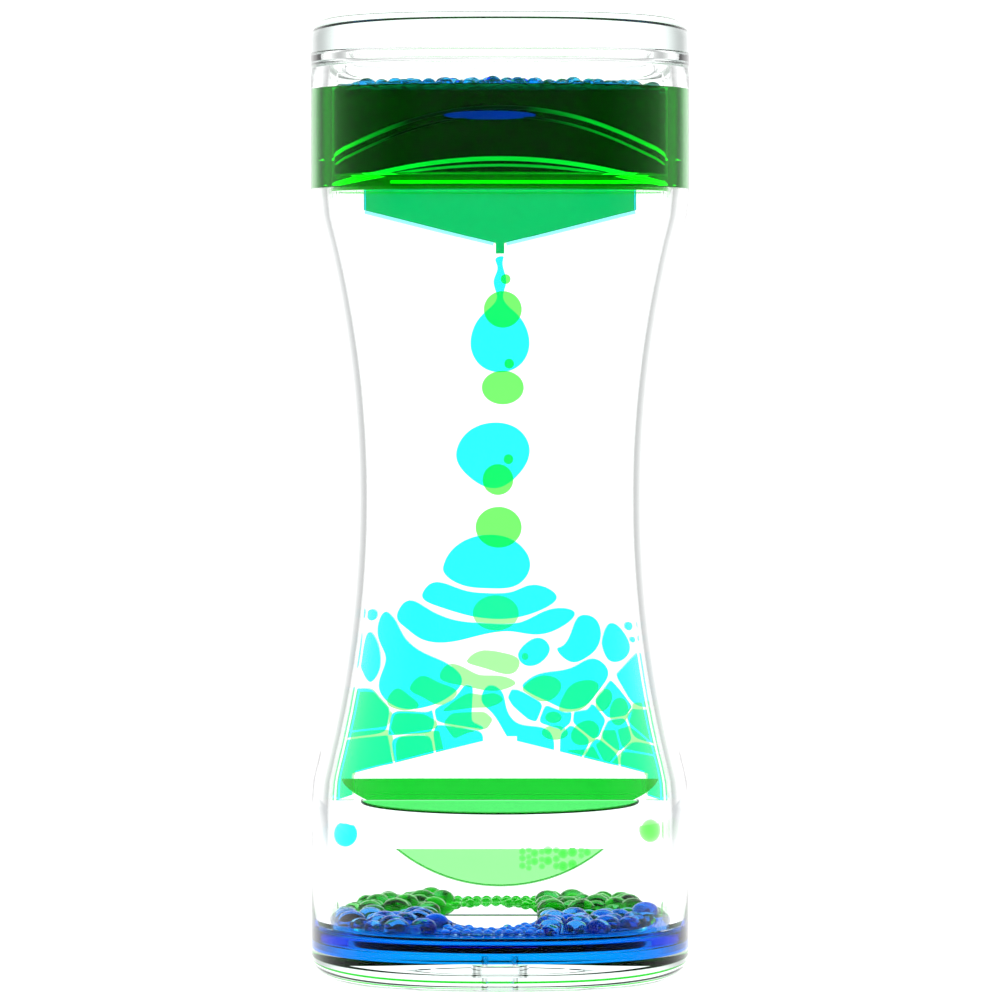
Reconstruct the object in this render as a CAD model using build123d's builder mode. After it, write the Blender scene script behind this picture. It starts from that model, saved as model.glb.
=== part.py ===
import os
from math import atan, hypot, sin, sqrt

from build123d import *

os.makedirs("parts", exist_ok=True)

# Case: a waisted tube of rounded square section, closed by a lid at each end
body_height = 135.0
end_width = 53.6
waist_width = 42.6
chamber_depth = 24.5
shoulder_radius = 18.0
side_bulge = 6.0
corner_radius = 12.0
wall = 2.2
lid_thickness = 5.0
lid_edge_radius = 3.2
spigot_depth = 1.8
spigot_wall = 2.0
spigot_clearance = 0.15

# Underside of the base: a shallow round dish with ring ribs and the filling plug
dish_radius = 17.0
dish_depth = 1.0
ring_rib_radius = 11.0
ring_rib_width = 1.2
plug_radius = 2.4
plug_head_radius = 3.6
plug_head_depth = 1.2
plug_clearance = 0.08

# Panels: a full height divider with a thin flat slot on each face of it
divider_thickness = 1.6
slot_gap = 2.4
slot_plate_thickness = 1.6
deck_thickness = 2.0
deck_clearance = 0.2
panel_clearance = 0.5
panel_end_clearance = 0.2
deck_slot_clearance = 0.15

# Hopper ribs on the divider, one pair above and one below in each slot
hopper_half_width = 21.0
hopper_lip = 3.6
hopper_drop = 4.6
rib_thickness = 1.2
rib_clearance = 0.1
nozzle_half_gap = 0.9
nozzle_length = 0.6

# Dyed oil
film = 0.3
upper_pool_depth = 12.0
lower_pool_depth = 2.4
bead_radius = 2.6
bead_height = 2.4
bead_pitch = 6.0
bead_row_count = 3
froth_radius = 1.9
froth_height = 1.4
froth_pitch = 5.2
froth_depth = 14.0
froth_row_count = 2
exit_drop_radius = 1.8
exit_drop_gap = 0.5
section_power = 2.4

# Grid that the oil outlines are drawn on: steps to a hopper's end, up the heap and down the free fall
hopper_step_count = 21.0
heap_step_count = 28.9
fall_step_count = 39.5

# Levels and half widths that follow from the sizes above
mid_level = body_height / 2
end_half_width = end_width / 2
waist_rise = (end_width - waist_width) / 2
waist_reach = mid_level - chamber_depth
sweep_radius = (waist_reach**2 + waist_rise**2) / (2 * waist_rise)
sweep_angle = 2 * atan(waist_rise / waist_reach)
waist_radius = sweep_radius - shoulder_radius
waist_half_length = waist_radius * sin(sweep_angle)
divider_face = divider_thickness / 2
plate_face = divider_face + slot_gap
lower_deck_top = chamber_depth
upper_deck_bottom = body_height - chamber_depth
upper_deck_top = upper_deck_bottom + deck_thickness
upper_tip_level = upper_deck_bottom - hopper_lip - hopper_drop - nozzle_length
lower_tip_level = body_height - upper_tip_level
cell_thickness = slot_gap - 2 * film
heap_step = hopper_half_width / hopper_step_count
fall_step = (upper_tip_level - lower_tip_level - heap_step_count * heap_step) / fall_step_count
base_top = lid_thickness
lid_bottom = body_height - lid_thickness


def half_width(level):
    """Half width of the case at a height: a hollow waist, round shoulders and straight ends."""
    reach = abs(level - mid_level)
    if reach <= waist_half_length:
        return waist_width / 2 + waist_radius - sqrt(waist_radius**2 - reach**2)
    if reach >= waist_reach:
        return end_half_width
    from_end = waist_reach - reach
    return end_half_width - shoulder_radius + sqrt(shoulder_radius**2 - from_end**2)


def section(level, inset):
    """Rounded square section of the case at a height, drawn in by an inset."""
    reach = half_width(level) - inset
    share = reach / end_half_width
    corner = reach - side_bulge * share
    with BuildSketch(Plane.XY.offset(level)) as outline:
        with BuildLine():
            ThreePointArc((-corner, -corner), (0, -reach), (corner, -corner))
            ThreePointArc((corner, -corner), (reach, 0), (corner, corner))
            ThreePointArc((corner, corner), (0, reach), (-corner, corner))
            ThreePointArc((-corner, corner), (-reach, 0), (-corner, -corner))
        make_face()
        fillet(outline.vertices(), corner_radius * share)
    return outline.sketch


def waist_levels():
    """Heights of the sections that the waist is lofted through."""
    thirds = [waist_radius * sin(sweep_angle * step / 3) for step in (1, 2, 3)]
    half_turn = waist_reach - shoulder_radius * sin(sweep_angle / 2)
    above = thirds + [half_turn, waist_reach]
    steps = [-reach for reach in reversed(above)] + [0] + above
    return [mid_level + step for step in steps]


def panel_outline(inset, low, high, plane):
    """Flat panel across the case between two heights, following its waisted sides."""
    bends = [-waist_reach, -waist_half_length, waist_half_length, waist_reach]
    marks = [mid_level + reach for reach in bends]
    end = end_half_width - inset
    with BuildSketch(plane) as outline:
        with BuildLine():
            for side in (1, -1):
                Line((side * end, 0), (side * end, marks[0]))
                for first, last in zip(marks, marks[1:]):
                    levels = (first, (first + last) / 2, last)
                    ThreePointArc(*[(side * (half_width(level) - inset), level) for level in levels])
                Line((side * end, marks[-1]), (side * end, body_height))
            Line((-end, 0), (end, 0))
            Line((-end, body_height), (end, body_height))
        make_face()
        with Locations((0, (low + high) / 2)):
            Rectangle(end_width, high - low, mode=Mode.INTERSECT)
    return outline.sketch


def rib_outline():
    """Right half of an upper hopper rib: lip under the deck, slope to the nozzle, short nozzle wall."""
    slope = hopper_drop / (hopper_half_width - nozzle_half_gap - rib_thickness)
    rise = rib_thickness * sqrt(1 + slope**2)
    lip_level = upper_deck_bottom - hopper_lip
    throat = nozzle_half_gap + rib_thickness
    inner_corner = hopper_half_width - rib_thickness
    return [
        (hopper_half_width, upper_deck_bottom - panel_end_clearance),
        (hopper_half_width, lip_level),
        (throat, lip_level - hopper_drop),
        (throat, upper_tip_level),
        (nozzle_half_gap, upper_tip_level),
        (nozzle_half_gap, lip_level - (hopper_half_width - nozzle_half_gap) * slope + rise),
        (inner_corner, lip_level - rib_thickness * slope + rise),
        (inner_corner, upper_deck_bottom - panel_end_clearance),
    ]


def both_sides(points):
    """Closed outline from its right half, listed from one end on the middle line to the other."""
    return points + [(-x, height) for x, height in reversed(points)]


def hopper_inside(plane):
    """Space inside an upper hopper, clear of its ribs, from the nozzle to the top of the deck."""
    nozzle, throat, corner, lip = rib_outline()[4:]
    with BuildSketch(plane) as space:
        with BuildLine():
            Polyline(*both_sides([nozzle, throat, corner, (lip[0], upper_deck_top + 2 * film)]), close=True)
        make_face()
        offset(amount=-film, kind=Kind.INTERSECTION)
    return space.sketch


def hopper_below(plane):
    """Space that a lower hopper takes up in its slot, with room for a film all round."""
    lip, corner, throat, tip = rib_outline()[:4]
    turned = [(x, body_height - height) for x, height in (lip, corner, throat, tip)]
    with BuildSketch(plane) as space:
        with BuildLine():
            Polyline(*both_sides(turned), close=True)
        make_face()
        offset(amount=film, kind=Kind.INTERSECTION)
    return space.sketch


# Slot planes: blue oil runs in the front slot, green oil in the rear one
blue_plane = Plane.XZ.offset(divider_face + film)
green_plane = Plane.XZ.offset(film - plate_face)


def moved_up(plane, level):
    """A slot plane with its origin raised to a height."""
    return Plane(origin=plane.origin + Vector(0, 0, level), x_dir=plane.x_dir, z_dir=plane.z_dir)


blue_mound_plane = moved_up(blue_plane, lower_tip_level)
green_mound_plane = moved_up(green_plane, lower_tip_level)
blue_nozzle_plane = moved_up(blue_plane, upper_tip_level)
green_nozzle_plane = moved_up(green_plane, upper_tip_level)
front_half = Plane.XZ.offset(divider_face + film)
rear_half = Plane.XZ.offset(-divider_face - film)


def write(builder, name):
    """Name a finished piece and write it."""
    builder.part.label = name
    export_step(builder.part, f"parts/{name}.step")


# Case shell, open at both ends
with BuildPart() as outer_shell:
    end_length = chamber_depth - lid_thickness
    extrude(section(base_top, 0), amount=end_length)
    loft(sections=[section(level, 0) for level in waist_levels()])
    extrude(section(upper_deck_bottom, 0), amount=end_length)
    extrude(section(base_top, wall), amount=end_length, mode=Mode.SUBTRACT)
    loft(sections=[section(level, wall) for level in waist_levels()], mode=Mode.SUBTRACT)
    extrude(section(upper_deck_bottom, wall), amount=end_length, mode=Mode.SUBTRACT)
write(outer_shell, "outer_shell")


# Lids: a rounded plate with a ring that plugs into the shell, notched for the divider
spigot_inset = wall + spigot_clearance
notch_width = divider_thickness + 2 * deck_slot_clearance

with BuildPart() as top_lid:
    extrude(section(lid_bottom, 0), amount=lid_thickness)
    fillet(top_lid.faces().sort_by(Axis.Z)[-1].edges(), lid_edge_radius)
    extrude(section(lid_bottom, spigot_inset), amount=-spigot_depth)
    extrude(section(lid_bottom, spigot_inset + spigot_wall), amount=-spigot_depth, mode=Mode.SUBTRACT)
    with BuildSketch(Plane.XY.offset(lid_bottom)):
        Rectangle(end_width, notch_width)
    extrude(amount=-spigot_depth, mode=Mode.SUBTRACT)
write(top_lid, "top_lid")

with BuildPart() as base_lid:
    extrude(section(0, 0), amount=lid_thickness)
    fillet(base_lid.faces().sort_by(Axis.Z)[0].edges(), lid_edge_radius)
    extrude(section(base_top, spigot_inset), amount=spigot_depth)
    extrude(section(base_top, spigot_inset + spigot_wall), amount=spigot_depth, mode=Mode.SUBTRACT)
    with BuildSketch(Plane.XY.offset(base_top)):
        Rectangle(end_width, notch_width)
    extrude(amount=spigot_depth, mode=Mode.SUBTRACT)
    with BuildSketch(Plane.XY):
        Circle(dish_radius)
        Circle(ring_rib_radius + ring_rib_width / 2, mode=Mode.SUBTRACT)
        Circle(ring_rib_radius - ring_rib_width / 2)
    extrude(amount=dish_depth, mode=Mode.SUBTRACT)
    with Locations(Location((0, 0, dish_depth), (180, 0, 0))):
        CounterBoreHole(plug_radius + plug_clearance, plug_head_radius + plug_clearance, plug_head_depth)
write(base_lid, "base_lid")

with BuildPart() as fill_plug:
    with BuildSketch(Plane.XY.offset(dish_depth)):
        Circle(plug_head_radius)
    extrude(amount=plug_head_depth - plug_clearance)
    with BuildSketch(Plane.XY.offset(dish_depth)):
        Circle(plug_radius)
    extrude(amount=base_top - dish_depth)
write(fill_plug, "fill_plug")


# Divider with the hopper ribs on both of its faces
with BuildPart() as divider:
    low = base_top + panel_end_clearance
    high = lid_bottom - panel_end_clearance
    divider_plane = Plane.XZ.offset(-divider_face)
    extrude(panel_outline(wall + panel_clearance, low, high, divider_plane), amount=divider_thickness)
    for face, depth in ((divider_face, slot_gap - rib_clearance), (-divider_face, rib_clearance - slot_gap)):
        with BuildSketch(Plane.XZ.offset(face)):
            with BuildLine():
                Polyline(*rib_outline(), close=True)
            make_face()
            mirror(about=Plane.YZ)
            mirror(about=Plane.XZ.offset(-mid_level))
        extrude(amount=depth)
write(divider, "divider")


# Slot plates, and the decks that close each chamber down to its slot
def slot_plate(plane):
    """Flat clear plate that covers one slot."""
    low = lower_deck_top + panel_end_clearance
    high = upper_deck_bottom - panel_end_clearance
    return panel_outline(wall + panel_clearance, low, high, plane)


with BuildPart() as front_slot_plate:
    extrude(slot_plate(Plane.XZ.offset(plate_face)), amount=slot_plate_thickness)
write(front_slot_plate, "front_slot_plate")

with BuildPart() as rear_slot_plate:
    extrude(slot_plate(Plane.XZ.offset(-plate_face)), amount=-slot_plate_thickness)
write(rear_slot_plate, "rear_slot_plate")

deck_inset = wall + deck_clearance
for place, level in (("upper", upper_deck_bottom), ("lower", lower_deck_top - deck_thickness)):
    for side, face, kept in (("front", plate_face, Keep.TOP), ("rear", -plate_face, Keep.BOTTOM)):
        with BuildPart() as deck:
            extrude(section(level, deck_inset), amount=deck_thickness)
            split(bisect_by=Plane.XZ.offset(face), keep=kept)
        write(deck, f"{side}_{place}_deck")


# Oil held in the upper chamber, running down through its hopper to the nozzle
pool_inset = wall + spigot_clearance + film
for colour, plane, half, kept in (
    ("blue", blue_plane, front_half, Keep.TOP),
    ("green", green_plane, rear_half, Keep.BOTTOM),
):
    with BuildPart() as pool:
        extrude(section(upper_deck_top + film, pool_inset), amount=upper_pool_depth)
        split(bisect_by=half, keep=kept)
        extrude(hopper_inside(plane), amount=cell_thickness)
    write(pool, f"{colour}_upper_pool")


# Fields of small oil beads, in rows across a chamber and one row behind another
def bead_field(level, radius, pitch, first_depth, rows, side):
    """Round outlines of beads that stand on one level in one half of a chamber."""
    reach = chamber_reach - radius
    with BuildSketch(Plane.XY.offset(level)) as field:
        for row in range(rows):
            depth = first_depth + row * pitch
            half_row = reach * (1 - (depth / reach) ** section_power) ** (1 / section_power)
            with Locations((0, side * depth)):
                with GridLocations(pitch, 1, int(2 * half_row / pitch) + 1, 1):
                    Circle(radius)
    return field.sketch


# Froth floating on each upper pool, towards the front and the back of the case
froth_level = upper_deck_top + film + upper_pool_depth + film
chamber_reach = end_half_width - pool_inset
for colour, side in (("blue", -1), ("green", 1)):
    with BuildPart() as froth:
        field = bead_field(froth_level, froth_radius, froth_pitch, froth_depth, froth_row_count, side)
        extrude(field, amount=froth_height)
        chamfer(froth.faces().group_by(Axis.Z)[-1].edges(), froth_height / 2)
    write(froth, f"{colour}_froth")


# Oil that has come down: a flat pool on the base with a field of beads standing on it
lower_pool_level = base_top + film
bead_level = lower_pool_level + lower_pool_depth + film
bead_depth = divider_face + film + bead_radius
lower_pool_inset = spigot_inset + spigot_wall + film
for colour, half, kept, side in (("blue", front_half, Keep.TOP, -1), ("green", rear_half, Keep.BOTTOM, 1)):
    with BuildPart() as pool:
        extrude(section(lower_pool_level, lower_pool_inset), amount=lower_pool_depth)
        split(bisect_by=half, keep=kept)
    write(pool, f"{colour}_lower_pool")
    with BuildPart() as beads:
        field = bead_field(bead_level, bead_radius, bead_pitch, bead_depth, bead_row_count, side)
        extrude(field, amount=bead_height)
        chamfer(beads.faces().group_by(Axis.Z)[-1].edges(), bead_height / 2)
    write(beads, f"{colour}_beads")


# Flat cells of oil heaped on the lower hopper, drawn on the grid about its nozzle tip
def on_grid(points, up):
    """Points of an outline from grid steps to their real size."""
    return [(x * heap_step, height * up) for x, height in points]


def rounded_cell(plane, points):
    """Flat cell with a smooth closed outline through its points."""
    with BuildSketch(plane) as cell:
        with BuildLine():
            Spline(*points, periodic=True)
        make_face()
    return cell.sketch


def oval_cell(plane, oval, up):
    """Flat oval cell, given by its centre, its two half sizes and its tilt."""
    x, height, half_length, half_height, tilt = oval
    with BuildSketch(plane) as cell:
        with Locations((x * heap_step, height * up)):
            Ellipse(half_length * heap_step, half_height * up, rotation=tilt)
    return cell.sketch


def nearer_part(outline, centre, other):
    """Part of an outline that is nearer to one cell's centre than to another's, less half a film."""
    across, up = other[0] - centre[0], other[1] - centre[1]
    span = hypot(across, up)
    kept = []
    for first, last in zip(outline, outline[1:] + outline[:1]):
        ends = [((x - centre[0]) * across + (height - centre[1]) * up) / span for x, height in (first, last)]
        beyond = [end - (span - film) / 2 for end in ends]
        if beyond[0] <= 0:
            kept.append(first)
        if beyond[0] * beyond[1] < 0:
            share = beyond[0] / (beyond[0] - beyond[1])
            kept.append(tuple(a + (b - a) * share for a, b in zip(first, last)))
    return kept


def pressed_cell(plane, space, centre, centres):
    """One of the cells that press against each other and fill a space, with its corners rounded."""
    outline = space
    for other in centres:
        if other != centre:
            outline = nearer_part(outline, centre, other)
    middles = [((a[0] + b[0]) / 2, (a[1] + b[1]) / 2) for a, b in zip(outline[-1:] + outline, outline)]
    with BuildSketch(plane) as cell:
        with BuildLine():
            for corner, first, last in zip(outline, middles, middles[1:] + middles[:1]):
                Bezier(first, corner, corner, last)
        make_face()
    return cell.sketch


def heap_space(plane):
    """Space in a slot where oil can lie: inside the case walls, down to the lower deck."""
    return panel_outline(wall + panel_clearance + film, lower_deck_top, mid_level, plane)


large_cells = {
    "blue_landed_drop": [
        (-8.1, 24.4), (-6.7, 26.9), (-1.6, 28.9), (2.9, 27.4), (4.3, 24.6), (2.8, 22.0), (-1.5, 21.3),
        (-6.4, 22.2),
    ],
    "blue_upper_saucer": [
        (-11.0, 20.8), (-9.6, 22.1), (-5.4, 21.1), (-1.6, 20.6), (2.0, 20.9), (4.9, 21.8), (8.1, 20.0),
        (6.0, 18.3), (-1.6, 17.0), (-9.0, 18.8),
    ],
    "blue_lower_saucer": [
        (-14.6, 18.1), (-12.8, 19.6), (-10.5, 18.5), (-6.0, 16.7), (-1.6, 16.3), (3.0, 16.5), (8.4, 18.5),
        (10.6, 18.0), (7.2, 15.1), (1.5, 15.2), (-4.2, 14.3), (-8.4, 13.6), (-11.4, 14.2), (-13.6, 15.8),
    ],
    "blue_tall_cell": [
        (-16.1, 17.9), (-15.2, 17.0), (-13.7, 14.4), (-10.6, 12.0), (-7.5, 10.6), (-5.4, 8.2), (-7.0, 6.1),
        (-10.5, 4.5), (-15.0, 4.6), (-17.4, 7.4), (-16.4, 11.4), (-17.6, 15.7),
    ],
    "blue_long_cell": [
        (-2.5, 6.4), (-1.1, 7.5), (0.2, 6.7), (0.9, 4.4), (2.4, 2.2), (7.2, 0.8), (7.2, -2.8), (2.2, -1.2),
        (-1.5, 4.0),
    ],
    "blue_slope_cell": [
        (3.3, 7.7), (5.5, 9.1), (10.4, 10.1), (13.7, 11.3), (15.5, 9.6), (14.2, 6.9), (12.2, 4.7), (9.4, 4.2),
        (6.5, 5.4), (4.2, 6.5),
    ],
}
for name, points in large_cells.items():
    with BuildPart() as cell:
        extrude(rounded_cell(blue_mound_plane, on_grid(points, heap_step)), amount=cell_thickness)
        extrude(heap_space(blue_plane), amount=cell_thickness, mode=Mode.INTERSECT)
        extrude(hopper_below(blue_plane), amount=cell_thickness, mode=Mode.SUBTRACT)
    write(cell, name)

# Each group of smaller cells: smooth outlines, ovals, the space that pressed cells fill, and their centres
small_cells = {
    "blue_left_cells": (
        [
            [
                (-19.6, 13.8), (-18.7, 15.1), (-17.9, 14.1), (-17.2, 11.4), (-17.8, 8.8), (-18.6, 8.1),
                (-19.7, 9.3),
            ],
        ],
        [(-18.5, 17.6, 0.8, 0.8, 0)],
        [
            (-26.0, 7.2), (-18.6, 7.2), (-17.4, 5.9), (-15.6, 3.9), (-10.4, 3.7), (-6.6, 5.5), (-5.0, 7.6),
            (-3.8, 7.4), (-4.1, 2.4), (-2.4, 1.6), (-2.4, -2.0), (-26.0, -9.5),
        ],
        [(-18.9, 3.2), (-12.8, 2.2), (-5.8, 3.6), (-18.4, -2.4), (-12.6, -1.2), (-6.4, -0.2)],
    ),
    "blue_right_cells": (
        [
            [(2.6, 12.1), (3.7, 13.5), (5.9, 14.2), (7.1, 12.9), (6.4, 11.3), (4.6, 10.3), (3.1, 10.7)],
            [
                (8.4, 12.9), (10.3, 15.4), (11.5, 17.4), (13.4, 17.2), (14.4, 15.6), (13.6, 12.5),
                (12.0, 11.3), (9.6, 11.1),
            ],
            [(15, 15.2), (16.2, 16.4), (17.9, 15), (18.7, 12.6), (17.6, 11.2), (15.7, 11.1), (14.8, 12.6)],
            [(16.9, 9.3), (18.9, 11.3), (21.5, 12.9), (23.0, 9.0), (22.0, 4.8), (19.8, 4.8), (17.6, 7.4)],
        ],
        [(18.6, 16.0, 0.6, 0.6, 0), (19.2, 14.1, 0.4, 0.4, 0)],
        [
            (1.1, 5.8), (1.6, 6.9), (2.6, 6.9), (6.2, 4.9), (9.3, 3.6), (12.5, 4.0), (14.7, 6.7), (15.9, 8.4),
            (17.2, 7.0), (19.4, 4.2), (26.0, 4.2), (26.0, -9.5), (8.5, -4.4), (8.6, 1.3), (4.0, 2.7),
            (1.8, 4.6),
        ],
        [
            (4.0, 4.5), (7.8, 3.0), (10.6, -0.4), (12.8, 2.4), (16.2, 5.2), (16.9, 0.6), (20.6, 1.8),
            (14.4, -2.6), (19.8, -2.4),
        ],
    ),
    "green_left_cells": (
        [
            [(-12.9, 7.4), (-10.9, 8.6), (-8.9, 7.7), (-6.2, 6.2), (-7.3, 5.0), (-8.8, 4.5), (-11.4, 5.7)],
            [(-16.3, 5.6), (-14.6, 6.8), (-13.4, 6.0), (-11.8, 4.3), (-13.0, 3.8), (-15.2, 4.0)],
        ],
        [],
        [
            (-26.0, 6.6), (-18.6, 6.5), (-17.2, 5.2), (-15.8, 3.4), (-11.0, 3.2), (-9.2, 2.2), (-8.6, 0.2),
            (-7.6, -4.2), (-26.0, -9.5),
        ],
        [(-18.7, 3.6), (-12.6, 1.9), (-18.4, -1.4), (-12.2, -0.9)],
    ),
    "green_right_cells": (
        [
            [(3.3, 6.9), (4.6, 8.1), (7.2, 8.6), (8.8, 7.6), (7.5, 5.3), (5.9, 5.0), (4.2, 5.9)],
            [(8.5, 4.0), (9.5, 6.4), (10.6, 7.5), (14.3, 7.4), (13.6, 5.6), (11.6, 3.8), (9.8, 3.5)],
        ],
        [
            (15.1, 5.2, 1.7, 1.1, 63), (17.4, 3.6, 2.0, 1.4, 78), (7.7, 2.7, 1.2, 0.8, 0),
            (7.9, 0.5, 1.9, 1.0, 0), (12.3, 0.5, 2.2, 1.6, 30), (3.6, 11.4, 0.5, 0.5, 0),
        ],
        [
            (14.9, 0.9), (16.4, 0.9), (18.6, 1.4), (19.4, 3.2), (19.6, 5.0), (26.0, 5.0), (26.0, -9.5),
            (9.2, -4.6), (9.6, -2.0), (12.4, -1.9), (14.5, -0.8),
        ],
        [(15.8, -1.2), (19.0, -0.4), (21.0, 2.4), (18.6, -3.6), (12.4, -3.0)],
    ),
    "green_middle_cells": (
        [
            [(-4.7, 10.9), (-3.3, 12.0), (0.4, 11.9), (2.8, 10.6), (2.3, 9.3), (-1.5, 9.5), (-3.6, 10.1)],
            [
                (-8.6, 9.1), (-7.2, 10.3), (-5.4, 9.9), (-3.2, 8.8), (1.2, 8.3), (2.2, 7.6), (1.2, 6.9),
                (-3.4, 6.8), (-6.3, 7.4),
            ],
            [
                (-8.0, 3.9), (-5.5, 5.7), (-4.4, 6.1), (-2.6, 5.9), (-0.8, 6.1), (0.4, 5.3), (-0.8, 4.4),
                (-4.5, 4.0),
            ],
        ],
        [(-0.6, 17.6, 3.3, 2.5, 0)],
        [(-8.2, 1.9), (-7.0, 3.3), (-2.2, 3.5), (-1.0, 2.4), (-1.8, 1.1), (-4.7, 0.5), (-6.6, -0.4)],
        [(-5.0, 2.0)],
    ),
}
for name, (outlines, ovals, space, centres) in small_cells.items():
    blue = name.startswith("blue")
    slot_plane = blue_plane if blue else green_plane
    mound_plane = blue_mound_plane if blue else green_mound_plane
    space, centres = on_grid(space, heap_step), on_grid(centres, heap_step)
    with BuildPart() as cells:
        for points in outlines:
            extrude(rounded_cell(mound_plane, on_grid(points, heap_step)), amount=cell_thickness)
        for oval in ovals:
            extrude(oval_cell(mound_plane, oval, heap_step), amount=cell_thickness)
        for centre in centres:
            extrude(pressed_cell(mound_plane, space, centre, centres), amount=cell_thickness)
        extrude(heap_space(slot_plane), amount=cell_thickness, mode=Mode.INTERSECT)
        extrude(hopper_below(slot_plane), amount=cell_thickness, mode=Mode.SUBTRACT)
    write(cells, name)


# Drops falling in the slots, drawn on the grid down from the upper nozzle tips
blue_hanging_half = [
    (0.5, -0.3), (0.4, -1.4), (0.9, -3.6), (0.45, -5.9), (2.35, -8.2), (4.0, -11.0), (4.1, -13.2),
    (2.4, -15.8),
]
blue_falling_points = [
    (-6.2, -27.7), (-4.4, -24.8), (-0.8, -23.6), (2.9, -24.8), (4.2, -27.2), (2.4, -31.2), (-0.6, -32.9),
    (-4.6, -31.1),
]
for name, points in (("blue_drop_1", both_sides(blue_hanging_half)), ("blue_drop_2", blue_falling_points)):
    with BuildPart() as drop:
        extrude(rounded_cell(blue_nozzle_plane, on_grid(points, fall_step)), amount=cell_thickness)
    write(drop, name)

green_drops = {
    "green_drop_1": (0.4, -7.6, 2.7, 2.6, 0),
    "green_drop_2": (0.4, -18.7, 3.0, 2.4, 0),
    "green_drop_3": (-0.3, -31.8, 2.2, 2.2, 0),
    "green_drop_4": (-0.2, -38.6, 3.3, 2.9, 0),
    "green_bead_1": (0.8, -3.3, 0.7, 0.7, 0),
    "green_bead_2": (1.3, -15.3, 0.7, 0.7, 0),
    "green_bead_3": (1.2, -28.9, 0.7, 0.7, 0),
}
for name, oval in green_drops.items():
    with BuildPart() as drop:
        extrude(oval_cell(green_nozzle_plane, oval, fall_step), amount=cell_thickness)
    write(drop, name)


# Drops that have slipped out past a hopper end and sink through the lower chamber
exit_x = end_half_width - wall - exit_drop_gap - exit_drop_radius
exit_level = lower_deck_top - deck_thickness - film - exit_drop_radius
for name, x, depth in (("blue_exit_drop", -exit_x, -plate_face), ("green_exit_drop", exit_x, plate_face)):
    with BuildPart() as drop:
        with Locations((x, depth, exit_level - exit_drop_gap)):
            Sphere(exit_drop_radius)
    write(drop, name)
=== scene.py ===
import math
import random

import bpy
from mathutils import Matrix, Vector


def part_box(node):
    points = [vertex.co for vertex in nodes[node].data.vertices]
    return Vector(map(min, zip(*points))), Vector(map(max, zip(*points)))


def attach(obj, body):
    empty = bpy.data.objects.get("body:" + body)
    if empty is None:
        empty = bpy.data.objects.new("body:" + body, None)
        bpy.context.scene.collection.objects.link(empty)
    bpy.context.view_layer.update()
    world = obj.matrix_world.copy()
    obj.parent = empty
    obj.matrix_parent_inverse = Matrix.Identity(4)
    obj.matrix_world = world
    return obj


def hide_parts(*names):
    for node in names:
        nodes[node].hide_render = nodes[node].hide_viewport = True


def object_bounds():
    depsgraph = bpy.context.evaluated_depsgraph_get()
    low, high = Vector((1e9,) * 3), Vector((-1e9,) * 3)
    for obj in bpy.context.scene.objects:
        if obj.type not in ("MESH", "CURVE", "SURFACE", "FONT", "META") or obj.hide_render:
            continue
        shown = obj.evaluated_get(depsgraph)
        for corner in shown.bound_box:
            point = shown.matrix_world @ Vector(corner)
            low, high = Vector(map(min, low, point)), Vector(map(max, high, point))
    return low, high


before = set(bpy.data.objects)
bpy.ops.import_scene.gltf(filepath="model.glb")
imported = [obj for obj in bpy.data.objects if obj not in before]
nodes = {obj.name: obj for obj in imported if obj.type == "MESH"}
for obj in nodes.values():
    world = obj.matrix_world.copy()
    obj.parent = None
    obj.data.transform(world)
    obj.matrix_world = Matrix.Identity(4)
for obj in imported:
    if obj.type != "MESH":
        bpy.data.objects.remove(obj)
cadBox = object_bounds()
mm = 0.001
white = (1, 1, 1, 1)
black = (0, 0, 0, 1)
print("frame loaded:", len(nodes), "nodes")


# Shader sockets that can be used in sums

class Sock:
    def __init__(self, tree, socket):
        self.tree = tree
        self.socket = socket

    def sum(self, operation, first, second):
        node = addNode(self.tree, "ShaderNodeMath", {"operation": operation}, {0: first, 1: second})
        return Sock(self.tree, node.outputs[0])

    def __add__(self, other):
        return self.sum("ADD", self, other)

    def __radd__(self, other):
        return self.sum("ADD", other, self)

    def __sub__(self, other):
        return self.sum("SUBTRACT", self, other)

    def __mul__(self, other):
        return self.sum("MULTIPLY", self, other)

    def __rmul__(self, other):
        return self.sum("MULTIPLY", other, self)

    def __truediv__(self, other):
        return self.sum("DIVIDE", self, other)

    def __abs__(self):
        return self.sum("ABSOLUTE", self, 0.0)


def addNode(tree, kind, settings, sockets):
    node = tree.nodes.new(kind)
    for name, value in settings.items():
        setattr(node, name, value)
    for name, value in sockets.items():
        if isinstance(value, Sock):
            tree.links.new(value.socket, node.inputs[name])
        else:
            node.inputs[name].default_value = value
    return node


def noiseAt(tree, place, scale, detail):
    node = addNode(tree, "ShaderNodeTexNoise", {}, {"Vector": place, "Scale": scale, "Detail": detail})
    return Sock(tree, node.outputs[0])


def ramp(tree, value, start, end, first, last):
    # goes from first to last while the value goes from start to end, and stays level beyond
    node = addNode(tree, "ShaderNodeMapRange", {"clamp": True}, {0: value, 1: start, 2: end, 3: first, 4: last})
    return Sock(tree, node.outputs[0])


def blend(tree, share, first, second):
    node = addNode(tree, "ShaderNodeMix", {"data_type": "RGBA"}, {0: share, 6: first, 7: second})
    return Sock(tree, node.outputs[2])


def axesOf(tree, place):
    node = addNode(tree, "ShaderNodeSeparateXYZ", {}, {0: place})
    return [Sock(tree, output) for output in node.outputs]


def clearTree(owner, coordinates):
    owner.use_nodes = True
    tree = owner.node_tree
    tree.nodes.clear()
    return tree, Sock(tree, addNode(tree, "ShaderNodeTexCoord", {}, {}).outputs[coordinates])


def addOutput(tree, kind, shaders):
    addNode(tree, kind, {}, {name: Sock(tree, shader.outputs[0]) for name, shader in shaders.items()})


# Clear and dyed materials: light passes through, and the colour comes from the depth that it passes

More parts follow.
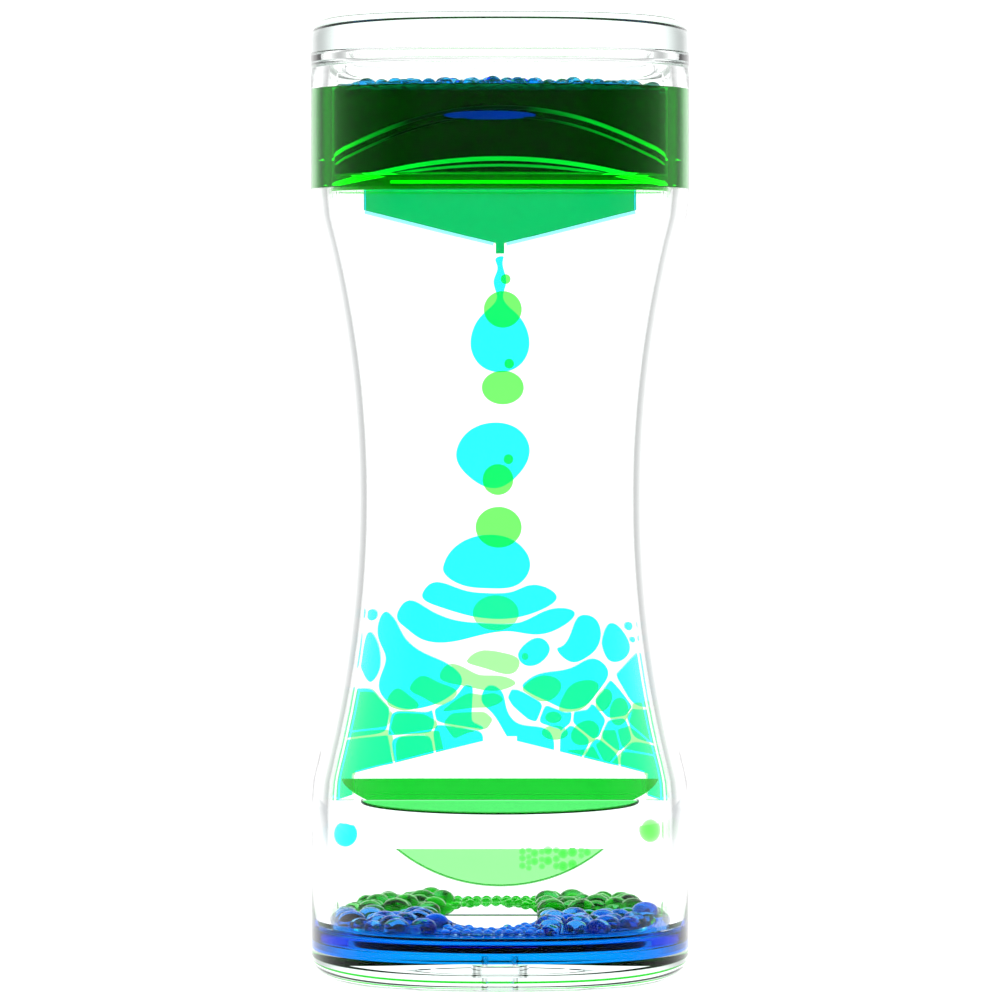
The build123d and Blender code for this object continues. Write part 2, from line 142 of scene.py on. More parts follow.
oilLook = dict(ior=1.05, rough=0.01, wobble=0.02, grain=120)
sheetLook = dict(tint=(0.7, 0.92, 0.9, 1), density=8, rough=0.02, wobble=0.01, grain=60)
clearLooks = {
    "acrylic": dict(ior=1.4, tint=(0.62, 0.82, 0.76, 1), density=9, rough=0.012, wobble=0.02, grain=45, gloss=0.15),
    "panel": dict(sheetLook, ior=1.03),
    "deck": dict(sheetLook, ior=1.002),
    "blueOil": dict(oilLook, tint=(0.015, 0.962, 0.987, 1), density=2200),
    "greenOil": dict(oilLook, tint=(0.14, 0.955, 0.015, 1), density=660),
    "greenDrop": dict(oilLook, tint=(0.2, 0.955, 0.1, 1), density=1250),
    # the hopper colours of the two pools are painted shade, laid on below hopperTop
    "bluePool": dict(oilLook, tint=(0.015, 0.955, 0.985, 1), density=2200, hopper=(0.7, 0.72, 0.8, 1)),
    "navyPool": dict(oilLook, tint=(0.01, 0.86, 0.98, 1), density=2200),
    "greenPool": dict(oilLook, tint=(0.187, 0.947, 0.04, 1), density=1100, hopper=(0.5, 0.8, 0.95, 1)),
    "wallPool": dict(oilLook, tint=(0.05, 0.87, 0.3, 1), density=1100),
    "blueBead": dict(oilLook, tint=(0.0, 0.6, 0.9, 1), density=1000, ior=1.2, grain=200),
    "greenBead": dict(oilLook, tint=(0.08, 0.8, 0.1, 1), density=900, ior=1.2, grain=200),
    # painted highlight: the froth's oil is paler and thinner in dye than the blue oil, for the light that the froth
    # catches from above
    "blueFoamHighlight": dict(oilLook, tint=(0.3, 0.85, 0.98, 1), density=900, ior=1.12, grain=200),
    "paleFilm": dict(oilLook, tint=(0.35, 0.92, 0.35, 1), density=2800, wobble=0.04, grain=300),
    "deckFilm": dict(oilLook, tint=(0.02, 0.85, 0.25, 1), density=6800, ior=1.03, wobble=0.04, grain=300),
    "darkRim": dict(oilLook, tint=(0.1, 0.65, 0.1, 1), density=6500, grain=300),
    "puddle": dict(oilLook, tint=(0.1, 0.88, 0.3, 1), density=1500, ior=1.005, grain=300),
}
clearFinish = dict(pale=(0.97, 0.985, 0.98, 1), cloudDetail=3.0, smearDetail=4.0, smearScale=6, bump=1 * mm)
hopperTop = dict(low=110.2 * mm, high=110.6 * mm)


def makeClear(name):
    look = clearLooks[name]
    finish = clearFinish
    material = bpy.data.materials.new(name)
    tree, place = clearTree(material, "Object")
    cloud = noiseAt(tree, place, look["grain"], finish["cloudDetail"])
    smear = noiseAt(tree, place, look["grain"] * finish["smearScale"], finish["smearDetail"])
    bump = addNode(tree, "ShaderNodeBump", {}, {
        "Height": cloud, "Strength": look["wobble"], "Distance": finish["bump"]})
    tone = blend(tree, cloud, finish["pale"], white)
    if "hopper" in look:
        # painted shade: the oil in a hopper is darkened in its base colour below the rib tops, for the shade of the
        # ribs round it
        ribShadeShare = ramp(tree, axesOf(tree, place)[2], hopperTop["low"], hopperTop["high"], 1.0, 0.0)
        tone = blend(tree, ribShadeShare, tone, look["hopper"])
    surface = addNode(tree, "ShaderNodeBsdfPrincipled", {}, {
        "Base Color": tone,
        "Roughness": smear * look["rough"],
        "IOR": look["ior"],
        "Transmission Weight": 1.0,
        "Normal": Sock(tree, bump.outputs[0]),
    })
    if "gloss" in look:
        surface.inputs["Specular Tint"].default_value = (look["gloss"], look["gloss"], look["gloss"], 1)
    depth = addNode(tree, "ShaderNodeVolumeAbsorption", {}, {"Color": look["tint"], "Density": look["density"]})
    addOutput(tree, "ShaderNodeOutputMaterial", {"Surface": surface, "Volume": depth})
    return material


materials = {name: makeClear(name) for name in clearLooks}
print("materials made:", ", ".join(materials))


# Tools for modelling by operators

toolLook = dict(shellAngle=math.radians(40), roundAngle=math.radians(60), weld=0.01 * mm, cut=1e-7)
upright = (math.pi / 2, 0, 0)


def startFresh():
    if bpy.context.object and bpy.context.object.mode != "OBJECT":
        bpy.ops.object.mode_set(mode="OBJECT")
    bpy.ops.object.select_all(action="DESELECT")


def fixPlace():
    bpy.ops.object.transform_apply(location=True, rotation=True, scale=True)


def smoothRound():
    bpy.ops.object.shade_smooth_by_angle(angle=toolLook["roundAngle"])


def squareness(x, y, power):
    turn = math.atan2(y, x)
    return (abs(math.cos(turn)) ** power + abs(math.sin(turn)) ** power) ** (-1 / power)


def drawShell(name, count, profile, ring=False):
    # profile: half width, level and power of each ring, from one closed end to the other or once round a ring
    startFresh()
    bpy.ops.mesh.primitive_circle_add(vertices=count, radius=profile[0][0], location=(0, 0, profile[0][1]))
    shell = bpy.context.object
    shell.name = name
    fixPlace()
    bpy.ops.object.mode_set(mode="EDIT")
    bpy.ops.mesh.select_all(action="SELECT")
    if not ring:
        bpy.ops.mesh.edge_face_add()
    bpy.ops.mesh.select_mode(type="EDGE")
    for (wide, low, _), (nextWide, nextLow, _) in zip(profile, profile[1:]):
        bpy.ops.mesh.extrude_edges_move(TRANSFORM_OT_translate={"value": (0, 0, nextLow - low)})
        grow = nextWide / wide
        bpy.ops.transform.resize(value=(grow, grow, 1), center_override=(0, 0, nextLow))
    if not ring:
        bpy.ops.mesh.edge_face_add()
    bpy.ops.object.mode_set(mode="OBJECT")
    for index, point in enumerate(shell.data.vertices):
        push = squareness(point.co.x, point.co.y, profile[index // count][2])
        point.co.x *= push
        point.co.y *= push
    bpy.ops.object.mode_set(mode="EDIT")
    bpy.ops.mesh.select_all(action="SELECT")
    if ring:
        bpy.ops.mesh.remove_doubles(threshold=toolLook["weld"])
    bpy.ops.mesh.normals_make_consistent(inside=False)
    bpy.ops.object.mode_set(mode="OBJECT")
    bpy.ops.object.shade_smooth_by_angle(angle=toolLook["shellAngle"])
    return shell


def keepBelow(piece, place, direction):
    # cuts a piece by a plane and closes it, and what lies on the direction's side goes
    startFresh()
    bpy.context.view_layer.objects.active = piece
    piece.select_set(True)
    bpy.ops.object.mode_set(mode="EDIT")
    bpy.ops.mesh.select_all(action="SELECT")
    bpy.ops.mesh.bisect(
        plane_co=place, plane_no=direction, threshold=toolLook["cut"], use_fill=True, clear_outer=True)
    bpy.ops.mesh.select_all(action="SELECT")
    bpy.ops.mesh.normals_make_consistent(inside=False)
    bpy.ops.object.mode_set(mode="OBJECT")


def joinAll(pieces):
    startFresh()
    for piece in pieces:
        piece.select_set(True)
    bpy.context.view_layer.objects.active = pieces[0]
    bpy.ops.object.join()
    fixPlace()
    return pieces[0]


def settle(piece, name, material, slot, *replaced):
    piece.name = name
    piece.data.materials.append(materials[material])
    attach(piece, "case")
    if replaced:
        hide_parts(*replaced)


def roundedCorner(halfWidth, level, radius, fromAngle, toAngle, steps):
    points = []
    for step in range(steps + 1):
        turn = math.radians(fromAngle + (toAngle - fromAngle) * step / steps)
        points.append((halfWidth + radius * math.cos(turn), level + radius * math.sin(turn)))
    return points


# Case: one clear body of rounded square section with a hollow inside

caseSize = dict(
    count=128, power=2.6, waistHalf=21.3 * mm, chamberDepth=24.5 * mm, shoulder=18 * mm, straight=12 * mm,
    wall=2.2 * mm, lid=5 * mm, edge=3.2 * mm, ledgeWidth=2.15 * mm, ledgeDepth=1.8 * mm, soft=0.5 * mm,
    dish=17 * mm, dishDepth=1 * mm, rib=11 * mm, ribWidth=1.2 * mm, headHole=3.68 * mm, plugHole=2.48 * mm,
    headDepth=1.2 * mm, waistSteps=26, edgeSteps=8, softSteps=3, edgeShare=0.985, ledgeShare=0.95, capShare=0.5,
)
top = cadBox[1][2]
endHalf = (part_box("base_lid")[1].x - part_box("base_lid")[0].x) / 2
middle = top / 2


def caseHalf(level):
    # half width outside: a waist arc, a shoulder arc and a straight end
    reach = abs(level - middle)
    waistReach = middle - caseSize["chamberDepth"]
    rise = endHalf - caseSize["waistHalf"]
    sweep = (waistReach ** 2 + rise ** 2) / (2 * rise)
    waistRadius = sweep - caseSize["shoulder"]
    waistHalfLength = waistRadius * math.sin(2 * math.atan(rise / waistReach))
    if reach <= waistHalfLength:
        return caseSize["waistHalf"] + waistRadius - math.sqrt(waistRadius ** 2 - reach ** 2)
    if reach >= waistReach:
        return endHalf
    return endHalf - caseSize["shoulder"] + math.sqrt(caseSize["shoulder"] ** 2 - (waistReach - reach) ** 2)


def outerRings(levels):
    edge, steps = caseSize["edge"], caseSize["edgeSteps"]
    corner = endHalf - edge
    flat = corner * caseSize["edgeShare"]
    rings = [(flat, 0)] + roundedCorner(corner, edge, edge, -90, 0, steps)
    rings += [(caseHalf(level), level) for level in levels]
    rings += roundedCorner(corner, top - edge, edge, 0, 90, steps)
    return rings + [(flat, top), (corner * caseSize["capShare"], top)]


def innerRings(levels):
    wall, floor, lip, steps = (caseSize[key] for key in ("wall", "lid", "soft", "softSteps"))
    inside = endHalf - wall
    ledge = inside - caseSize["ledgeWidth"]
    ledgeTop = floor + caseSize["ledgeDepth"]
    flat = ledge * caseSize["ledgeShare"]
    bends = roundedCorner(ledge - lip, floor + lip, lip, -90, 0, steps)
    bends += roundedCorner(ledge + lip, ledgeTop - lip, lip, 180, 90, steps)
    bends += roundedCorner(inside - lip, ledgeTop + lip, lip, -90, 0, steps)
    rings = [(flat, floor)] + bends + [(caseHalf(level) - wall, level) for level in levels]
    rings += [(half, top - level) for half, level in reversed(bends)]
    return rings + [(flat, top - floor), (ledge * caseSize["capShare"], top - floor)]


def underRings():
    # the filling hole, the seat of its plug, and the dished underside with its ring
    hole, seat, dish, deep = (caseSize[key] for key in ("plugHole", "headHole", "dish", "dishDepth"))
    seatTop = deep + caseSize["headDepth"]
    ribIn = caseSize["rib"] - caseSize["ribWidth"] / 2
    ribOut = caseSize["rib"] + caseSize["ribWidth"] / 2
    return [
        (hole, caseSize["lid"]), (hole, seatTop), (seat, seatTop), (seat, deep),
        (ribIn, deep), (ribIn, 0), (ribOut, 0), (ribOut, deep), (dish, deep), (dish, 0),
    ]


def makeCase():
    low, steps = caseSize["chamberDepth"], caseSize["waistSteps"]
    waist = [low + (top - low - low) * step / steps for step in range(steps + 1)]
    levels = [caseSize["straight"]] + waist + [top - caseSize["straight"]]
    profile = [(half, level, caseSize["power"]) for half, level in reversed(innerRings(levels))]
    profile += [(half, level, 2) for half, level in underRings()]
    profile += [(half, level, caseSize["power"]) for half, level in outerRings(levels)]
    case = drawShell("caseBody", caseSize["count"], profile)
    settle(case, "caseBody", "acrylic", "clear_case", "outer_shell", "top_lid", "base_lid")
    print("case:", len(case.data.polygons), "faces")


makeCase()


# Small oil drops: one flattened dome, copied over a chamber and joined

dropLook = dict(segments=12, rings=8, squash=0.8, cut=-0.35)
rowLook = dict(rows=8, power=2.5, jitter=0.3 * mm, close=1.8, loose=2.3, sink=0.3 * mm)
fieldLooks = {
    "blueBeads": dict(node="blue_beads", side=-1, material="blueBead", small=1.3 * mm, large=2.1 * mm,
                      first=3.4 * mm, pitch=2.6 * mm, seed=5, gap=True, reach=24.3 * mm),
    "greenBeads": dict(node="green_beads", side=1, material="greenBead", small=1.3 * mm, large=2.3 * mm,
                       first=3.4 * mm, pitch=2.6 * mm, seed=8, gap=True, reach=24.3 * mm),
    # the blue froth takes the paler oil, a painted highlight
    "blueFroth": dict(node="blue_froth", side=-1, material="blueFoamHighlight", small=0.6 * mm, large=1.15 * mm,
                      first=9.0 * mm, pitch=1.9 * mm, seed=11, gap=False, reach=24.0 * mm),
    "greenFroth": dict(node="green_froth", side=1, material="greenBead", small=0.6 * mm, large=1.3 * mm,
                       first=7.0 * mm, pitch=2.0 * mm, seed=17, gap=False, reach=24.0 * mm),
}
gapSize = dict(middle=-1 * mm, half=7.5 * mm, depth=17 * mm, bead=0.7 * mm)
highBead = dict(x=20.4 * mm, y=-8 * mm, rise=1.1 * mm, radius=1.9 * mm)


def makeDrop():
    startFresh()
    bpy.ops.mesh.primitive_uv_sphere_add(segments=dropLook["segments"], ring_count=dropLook["rings"], radius=1)
    drop = bpy.context.object
    bpy.ops.object.mode_set(mode="EDIT")
    bpy.ops.mesh.select_all(action="SELECT")
    bpy.ops.mesh.bisect(plane_co=(0, 0, dropLook["cut"]), plane_no=(0, 0, 1), use_fill=True, clear_inner=True)
    bpy.ops.mesh.select_all(action="SELECT")
    bpy.ops.transform.translate(value=(0, 0, -dropLook["cut"]))
    bpy.ops.transform.resize(value=(1, 1, dropLook["squash"]), center_override=(0, 0, 0))
    bpy.ops.object.mode_set(mode="OBJECT")
    smoothRound()
    return drop


def rowReach(depth, reach):
    power = rowLook["power"]
    return reach * max(0, 1 - (depth / reach) ** power) ** (1 / power)


def fieldPlaces(look):
    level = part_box(look["node"])[0].z - rowLook["sink"]
    dice = random.Random(look["seed"])
    places = []
    for row in range(rowLook["rows"]):
        depth = look["first"] + row * look["pitch"]
        room = rowReach(depth, look["reach"] - look["large"])
        x = -room
        while x < room:
            radius = dice.uniform(look["small"], look["large"])
            shift = dice.uniform(-rowLook["jitter"], rowLook["jitter"])
            step = dice.uniform(rowLook["close"], rowLook["loose"])
            aside = abs(x - gapSize["middle"]) / gapSize["half"]
            if look["gap"] and aside < 1:
                radius = gapSize["bead"]
            if not look["gap"] or aside ** 2 + (depth / gapSize["depth"]) ** 2 > 1:
                places.append((x, look["side"] * (depth + shift), level, radius))
            x += radius * step
    if look["material"] == "blueBead":
        places.append((highBead["x"], highBead["y"], level + highBead["rise"], highBead["radius"]))
    return places


def makeField(name):
    look = fieldLooks[name]
    drop = makeDrop()
    copies = []
    for x, y, z, radius in fieldPlaces(look):
        copy = bpy.data.objects.new("copy", drop.data.copy())
        bpy.context.scene.collection.objects.link(copy)
        copy.location = (x, y, z)
        copy.scale = (radius, radius, radius)
        copies.append(copy)
    bpy.data.objects.remove(drop)
    slot = "blue_oil" if look["side"] < 0 else "green_oil"
    settle(joinAll(copies), name, look["material"], slot, look["node"])
    print(name, "drops:", len(copies))


for name in fieldLooks:
    makeField(name)


# Mirror patches on the lower pools: where no bead lies, the flat oil mirrors the pale room behind

sheenSize = dict(half=6.9 * mm, depth=16 * mm, thick=0.05 * mm, lift=0.03 * mm, count=96)
mirrorLook = dict(colour=(0.95, 0.98, 0.97, 1), rough=0.1, grain=200, detail=2.0)


def makeMirror():
    look = mirrorLook
    material = bpy.data.materials.new("mirror")
    tree, place = clearTree(material, "Object")
    surface = addNode(tree, "ShaderNodeBsdfPrincipled", {}, {
        "Base Color": look["colour"],
        "Metallic": 1.0,
        "Roughness": look["rough"] * noiseAt(tree, place, look["grain"], look["detail"]),
    })
    addOutput(tree, "ShaderNodeOutputMaterial", {"Surface": surface})
    return material


def makeSheen(name, side, pool, slot):
    startFresh()
    bpy.ops.mesh.primitive_cylinder_add(
        vertices=sheenSize["count"], radius=sheenSize["half"], depth=sheenSize["thick"],
        location=(gapSize["middle"], 0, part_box(pool)[1].z + sheenSize["lift"] + sheenSize["thick"] / 2))
    sheen = bpy.context.object
    sheen.scale.y = sheenSize["depth"] / sheenSize["half"]
    fixPlace()
    keepBelow(sheen, (0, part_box(pool)[1 if side < 0 else 0].y, 0), (0, -side, 0))
    settle(sheen, name, "mirror", slot)


materials["mirror"] = makeMirror()
makeSheen("frontSheen", -1, "blue_lower_pool", "blue_oil")
makeSheen("rearSheen", 1, "green_lower_pool", "green_oil")
print("sheens made")


# Oil that fills a chamber: its colour reaches the outside of the wall all round

bandSize = dict(steps=6, split=0.4 * mm, skin=0.3 * mm)
bandLooks = {
    "frontUpperBand": dict(side=-1, material="wallPool", slot="green_oil", low=110.9 * mm, inside=2.8 * mm,
                           high=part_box("blue_upper_pool")[1].z),
    "rearUpperBand": dict(side=1, material="wallPool", slot="green_oil", low=111.2 * mm, inside=2.8 * mm,
                          high=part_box("green_upper_pool")[1].z),
    "frontLowerBand": dict(side=-1, material="navyPool", slot="blue_oil", low=4.2 * mm, inside=4.3 * mm,
                           high=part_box("blue_lower_pool")[1].z),
    "rearLowerBand": dict(side=1, material="greenPool", slot="green_oil", low=4.2 * mm, inside=4.3 * mm,
                          high=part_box("green_lower_pool")[1].z),
}


def makeBand(name):
    look = bandLooks[name]
    steps = bandSize["steps"]
    levels = [look["low"] + (look["high"] - look["low"]) * step / steps for step in range(steps + 1)]
    rings = [(caseHalf(level) - bandSize["skin"], level) for level in levels]
    rings += [(caseHalf(level) - look["inside"], level) for level in reversed(levels)]
    profile = [(half, level, caseSize["power"]) for half, level in rings + rings[:1]]
    band = drawShell(name, caseSize["count"], profile, ring=True)
    keepBelow(band, (0, look["side"] * bandSize["split"], 0), (0, -look["side"], 0))
    settle(band, name, look["material"], look["slot"])


for name in bandLooks:
    makeBand(name)
print("bands:", len(bandLooks))


# Blue oil that edges the slopes of the front upper hopper

edgeSize = dict(outer=(19.4 * mm, 107.85 * mm), inner=(0.9 * mm, 103.4 * mm), radius=0.3 * mm, count=16)


def makeEdge(name, side):
    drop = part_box("blue_drop_1")
    (farX, farZ), (nearX, nearZ) = edgeSize["outer"], edgeSize["inner"]
    startFresh()
    bpy.ops.mesh.primitive_cylinder_add(
        vertices=edgeSize["count"], radius=edgeSize["radius"], depth=math.hypot(farX - nearX, farZ - nearZ),
        rotation=(0, side * math.atan2(farX - nearX, farZ - nearZ), 0),
        location=(side * (farX + nearX) / 2, (drop[0].y + drop[1].y) / 2, (farZ + nearZ) / 2))
    edge = bpy.context.object
    fixPlace()
    smoothRound()
    settle(edge, name, "blueOil", "blue_oil")


makeEdge("leftHopperEdge", -1)
makeEdge("rightHopperEdge", 1)
print("hopper edges made")


# Thin films of green oil: one banked up the front slot plate from the lower deck, a pale one on the divider below

filmGap = 0.02 * mm
filmCount = 240
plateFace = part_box("front_slot_plate")[0].y - filmGap
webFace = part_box("blue_lower_pool")[1].y
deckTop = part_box("front_lower_deck")[1].z + filmGap
puddleSize = dict(wide=19.6 * mm, deep=18.8 * mm, thick=0.25 * mm, rim=0.2 * mm, rimSides=12)
filmLooks = {
    "deckOil": dict(half=22.5 * mm, wide=22.6 * mm, tall=6.6 * mm, level=27.8 * mm, thick=0.7 * mm,
                    floor=deckTop + puddleSize["thick"] + filmGap, face=plateFace, material="deckFilm"),
    "greenSkin": dict(half=14.8 * mm, wide=23.66 * mm, tall=23.66 * mm, level=17.6 * mm, thick=0.7 * mm,
                      floor=0, face=webFace, material="paleFilm"),
}
skinRim = dict(radius=0.16 * mm, count=360, sides=8)
cellSize = dict(first=3.2 * mm, last=12.6 * mm, small=0.4 * mm, large=0.75 * mm, flat=0.5, seed=3, lowest=3 * mm,
                topLow=0.2, topHigh=1.2, clear=0.7, stepLow=1.6, stepHigh=2.6, across=1.9, segments=16, rings=10)


def filmCentre(look):
    # height of the centre of the round lower edge above the straight upper one
    return look["tall"] * math.sqrt(1 - (look["half"] / look["wide"]) ** 2)


def placeShape(piece, place, scale):
    fixPlace()
    piece.location = place
    piece.scale = scale
    fixPlace()


def makeFilm(name):
    look = filmLooks[name]
    startFresh()
    bpy.ops.mesh.primitive_cylinder_add(
        vertices=filmCount, radius=look["wide"], depth=look["thick"], rotation=upright)
    film = bpy.context.object
    placeShape(film, (0, look["face"] - look["thick"] / 2, look["level"] + filmCentre(look)),
               (1, 1, look["tall"] / look["wide"]))
    keepBelow(film, (0, 0, look["level"]), (0, 0, 1))
    if look["floor"]:
        keepBelow(film, (0, 0, look["floor"]), (0, 0, -1))
    settle(film, name, look["material"], "green_oil")


def makePuddle():
    # the rest of the oil on the front lower deck, with a darker rounded rim
    size = puddleSize
    shape = (1, size["deep"] / size["wide"], 1)
    startFresh()
    bpy.ops.mesh.primitive_cylinder_add(vertices=filmCount, radius=size["wide"], depth=size["thick"])
    puddle = bpy.context.object
    placeShape(puddle, (0, plateFace, deckTop + size["thick"] / 2), shape)
    keepBelow(puddle, (0, plateFace, 0), (0, 1, 0))
    settle(puddle, "deckPuddle", "puddle", "green_oil")
    startFresh()
    bpy.ops.mesh.primitive_torus_add(
        major_segments=filmCount, minor_segments=size["rimSides"], major_radius=size["wide"],
        minor_radius=size["rim"])
    rim = bpy.context.object
    placeShape(rim, (0, plateFace, deckTop + size["rim"]), shape)
    keepBelow(rim, (0, plateFace, 0), (0, 1, 0))
    smoothRound()
    settle(rim, "deckPuddleRim", "darkRim", "green_oil")


def makeSkinRim(name):
    look = filmLooks[name]
    startFresh()
    bpy.ops.mesh.primitive_torus_add(
        major_segments=skinRim["count"], minor_segments=skinRim["sides"], major_radius=look["wide"],
        minor_radius=skinRim["radius"], rotation=upright)
    rim = bpy.context.object
    placeShape(rim, (0, look["face"] - look["thick"] / 2, look["level"] + filmCentre(look)), (1, 1, 1))
    keepBelow(rim, (0, 0, look["level"]), (0, 0, 1))
    smoothRound()
    settle(rim, name + "Rim", "darkRim", "green_oil")


def makeCells(name):
    # small cells crowd at the right end of the skin
    look = filmLooks[name]
    depth = look["face"] - look["thick"]
    dice = random.Random(cellSize["seed"])
    cells = []
    x = cellSize["first"]
    while x < cellSize["last"]:
        size = dice.uniform(cellSize["small"], cellSize["large"])
        low = look["level"] + filmCentre(look) - look["tall"] * math.sqrt(1 - (x / look["wide"]) ** 2)
        z = look["level"] - size * dice.uniform(cellSize["topLow"], cellSize["topHigh"])
        while z > low + size * cellSize["clear"] and z > look["level"] - cellSize["lowest"]:
            startFresh()
            bpy.ops.mesh.primitive_uv_sphere_add(
                segments=cellSize["segments"], ring_count=cellSize["rings"], radius=size, location=(x, depth, z))
            cells.append(bpy.context.object)
            z -= size * dice.uniform(cellSize["stepLow"], cellSize["stepHigh"])
        x += size * cellSize["across"]
    for cell in cells:
        cell.scale.y = cellSize["flat"]
    joined = joinAll(cells)
    smoothRound()
    settle(joined, name + "Cells", "paleFilm", "green_oil")


for name in filmLooks:
    makeFilm(name)
makePuddle()
makeSkinRim("greenSkin")
makeCells("greenSkin")
print("films:", len(filmLooks))


# Mirror images in the dark upper oil, drawn as thin glowing pieces: arcs of the deck, a line and a blue patch

# a glow is full beyond "full" to either side of the middle and gone within "fade"; a fade below zero means even
evenGlow = dict(power=4.0, middle=0, fade=-1 * mm, full=0, colour=(0.02, 1.0, 0.08, 1))
glowFinish = dict(least=0.6, swing=0.6, grain=140, detail=3.0, dark=(0, 0.01, 0, 1), base=(0.0, 0.1, 0.01, 1))
glintSize = dict(count=240, sides=8)
glintLooks = {
    "deckEdgeGlint": dict(evenGlow, half=22.4 * mm, rise=3.7 * mm, foot=111.3 * mm, depth=-10 * mm, wide=0.3 * mm,
                          power=5.0),
    "deckRimGlint": dict(evenGlow, half=22.0 * mm, rise=2.8 * mm, foot=111.3 * mm, depth=-9 * mm, wide=0.18 * mm),
    "archGlint": dict(evenGlow, half=23.4 * mm, rise=7.4 * mm, foot=114.8 * mm, depth=-8 * mm, wide=0.26 * mm,
                      middle=-4.5 * mm, fade=8 * mm, full=17 * mm),
    "innerArchGlint": dict(evenGlow, half=22.2 * mm, rise=6.8 * mm, foot=114.2 * mm, depth=-8 * mm, wide=0.16 * mm,
                           power=2.5, middle=-4.5 * mm, fade=10 * mm, full=18 * mm),
}
lineLook = dict(evenGlow, left=-15 * mm, right=22 * mm, level=111.75 * mm, depth=-10 * mm, wide=0.2 * mm, sides=12)
patchLook = dict(evenGlow, size=(6.3, 0.3, 0.6), place=(-1.4 * mm, -8 * mm, 121.1 * mm), segments=32, rings=16,
                 colour=(0.0, 0.05, 1.0, 1))


def makeGlow(name, look):
    finish = glowFinish
    material = bpy.data.materials.new(name)
    tree, place = clearTree(material, "Object")
    across = axesOf(tree, place)[0] - look["middle"]
    ends = ramp(tree, abs(across), look["fade"], look["full"], 0.0, 1.0)
    patchy = finish["least"] + finish["swing"] * noiseAt(tree, place, finish["grain"], finish["detail"])
    surface = addNode(tree, "ShaderNodeBsdfPrincipled", {}, {
        "Base Color": finish["base"],
        "Emission Color": blend(tree, ends * patchy, finish["dark"], look["colour"]),
        "Emission Strength": look["power"],
    })
    addOutput(tree, "ShaderNodeOutputMaterial", {"Surface": surface})
    return material


def settleGlow(piece, name, look, slot):
    smoothRound()
    materials[name] = makeGlow(name, look)
    settle(piece, name, name, slot)


def makeGlint(name):
    look = glintLooks[name]
    radius = (look["half"] ** 2 + look["rise"] ** 2) / (2 * look["rise"])
    startFresh()
    bpy.ops.mesh.primitive_torus_add(
        major_segments=glintSize["count"], minor_segments=glintSize["sides"], major_radius=radius,
        minor_radius=look["wide"], rotation=upright,
        location=(0, look["depth"], look["foot"] + look["rise"] - radius))
    glint = bpy.context.object
    fixPlace()
    keepBelow(glint, (0, 0, look["foot"]), (0, 0, -1))
    settleGlow(glint, name, look, "green_oil")


def makeLine(name):
    look = lineLook
    startFresh()
    bpy.ops.mesh.primitive_cylinder_add(
        vertices=look["sides"], radius=look["wide"], depth=look["right"] - look["left"],
        rotation=(0, math.pi / 2, 0), location=((look["left"] + look["right"]) / 2, look["depth"], look["level"]))
    line = bpy.context.object
    fixPlace()
    settleGlow(line, name, look, "green_oil")


def makePatch(name):
    look = patchLook
    startFresh()
    bpy.ops.mesh.primitive_uv_sphere_add(
        segments=look["segments"], ring_count=look["rings"], radius=mm, location=look["place"])
    patch = bpy.context.object
    patch.scale = look["size"]
    fixPlace()
    settleGlow(patch, name, look, "blue_oil")


for name in glintLooks:
    makeGlint(name)
makeLine("deckLine")
makePatch("bluePatch")
print("glints:", len(glintLooks))


# CAD nodes that stay take their own finish

def dressNode(name, material):
    slots = nodes[name].data.materials
    slots.clear()
    slots.append(materials[material])


for name in nodes:
    if name.endswith("_upper_deck"):
        dressNode(name, "greenOil")
    elif name.endswith("_lower_deck"):
        dressNode(name, "deck")
    elif name == "blue_lower_pool":
        dressNode(name, "navyPool")
    elif name.endswith("_pool"):
        dressNode(name, "bluePool" if name.startswith("blue_") else "greenPool")
    elif name.startswith("blue_"):
        dressNode(name, "blueOil")
    elif name.startswith(("green_drop_", "green_bead_")):
        dressNode(name, "greenDrop")
    elif name.startswith("green_"):
        dressNode(name, "greenOil")
    elif name == "fill_plug":
        dressNode(name, "acrylic")
    else:
        dressNode(name, "panel")
print("nodes dressed")


# Floor, light and camera

floorLook = dict(radius=400 * mm, drop=0.2 * mm, count=96, dim=(0.45, 0.46, 0.47, 1), dimFar=-300 * mm,
                 dimNear=-110 * mm, sideNear=110 * mm, sideFar=240 * mm)
roomLook = dict(white=1.45, gap=0.62, gapFrom=-1.0, gapTo=-0.4, room=0.6, roomFrom=0.2, roomTo=0.75, tiny=0.0001)
cameraLook = dict(distance=0.75, elevation=2.0, lens=190.5, sensor=36, aim=67 * mm, bounces=48, glossy=12)


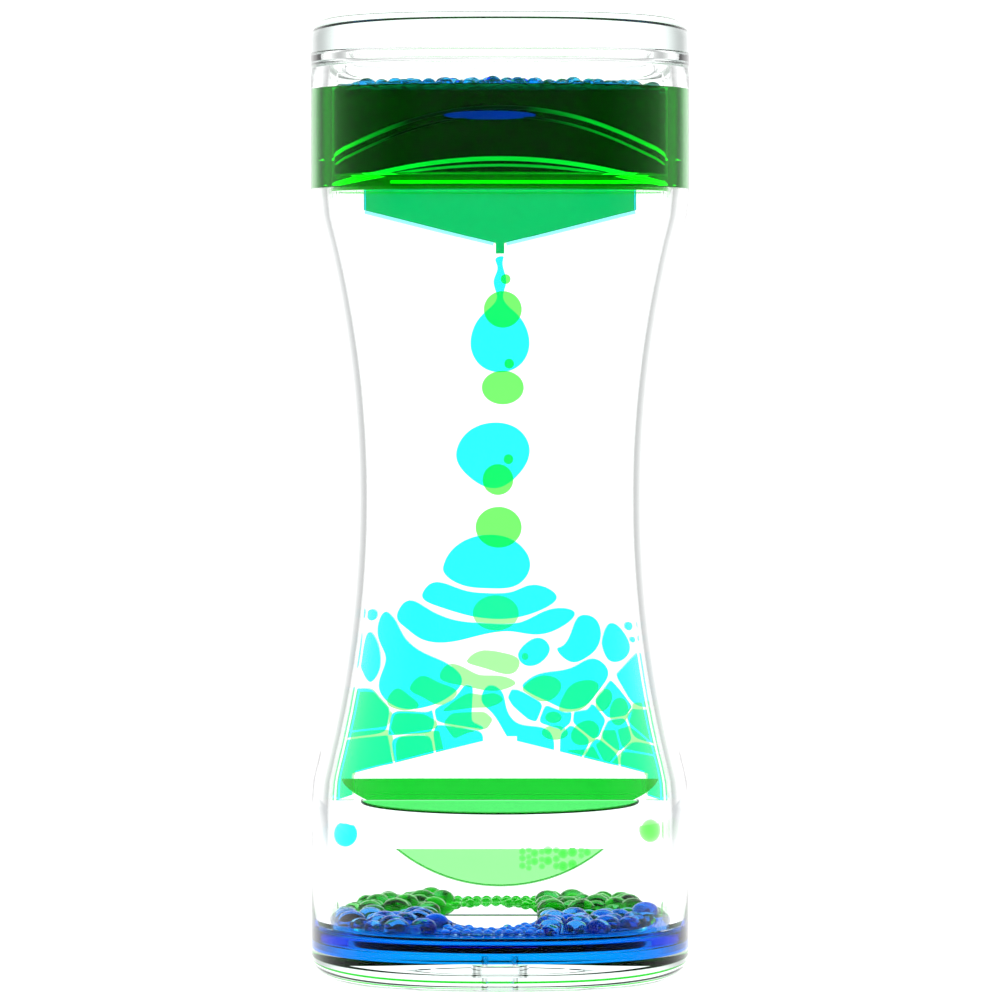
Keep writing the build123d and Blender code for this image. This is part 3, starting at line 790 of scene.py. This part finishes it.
def makeFloor():
    # white where the main view sees it, dimmer to the sides and in front
    look = floorLook
    startFresh()
    bpy.ops.mesh.primitive_circle_add(
        vertices=look["count"], radius=look["radius"], fill_type="NGON", location=(0, 0, -look["drop"]))
    floor = bpy.context.object
    floor.name = "floor"
    fixPlace()
    material = bpy.data.materials.new("paleFloor")
    tree, place = clearTree(material, "Object")
    east, north, _ = axesOf(tree, place)
    behind = ramp(tree, north, look["dimFar"], look["dimNear"], 0.0, 1.0)
    between = ramp(tree, abs(east), look["sideNear"], look["sideFar"], 1.0, 0.0)
    surface = addNode(tree, "ShaderNodeBsdfPrincipled", {}, {
        "Base Color": black,
        "Roughness": 1.0,
        "Specular IOR Level": 0.0,
        "Emission Color": blend(tree, behind * between, look["dim"], white),
        "Emission Strength": roomLook["white"],
    })
    addOutput(tree, "ShaderNodeOutputMaterial", {"Surface": surface})
    floor.data.materials.append(material)


def makeWorld():
    # a white room, darker towards its four corners and dimmer away from the north
    look = roomLook
    world = bpy.data.worlds.new("whiteRoom")
    bpy.context.scene.world = world
    tree, place = clearTree(world, "Generated")
    east, north, _ = axesOf(tree, place)
    eastSquare = east * east
    share = eastSquare / (eastSquare + north * north + look["tiny"])
    # the cosine of four times the bearing
    fourFold = 8 * (share * share) - 8 * share + 1
    bright = ramp(tree, fourFold, look["gapFrom"], look["gapTo"], look["gap"], look["white"])
    behind = ramp(tree, north, look["roomFrom"], look["roomTo"], look["room"], 1.0)
    shine = addNode(tree, "ShaderNodeBackground", {}, {"Color": white, "Strength": bright * behind})
    addOutput(tree, "ShaderNodeOutputWorld", {"Surface": shine})


def makeCamera():
    look = cameraLook
    lift = math.radians(look["elevation"])
    data = bpy.data.cameras.new("camera")
    data.lens = look["lens"]
    data.sensor_width = look["sensor"]
    camera = bpy.data.objects.new("camera", data)
    scene = bpy.context.scene
    scene.collection.objects.link(camera)
    aim = Vector((0, 0, look["aim"]))
    camera.location = aim + look["distance"] * Vector((0, -math.cos(lift), math.sin(lift)))
    camera.rotation_euler = (aim - camera.location).to_track_quat("-Z", "Y").to_euler()
    scene.camera = camera
    scene.view_settings.view_transform = "Standard"
    scene.cycles.max_bounces = look["bounces"]
    scene.cycles.transmission_bounces = look["bounces"]
    scene.cycles.transparent_max_bounces = look["bounces"]
    scene.cycles.glossy_bounces = look["glossy"]


makeFloor()
makeWorld()
makeCamera()
print("stage set")
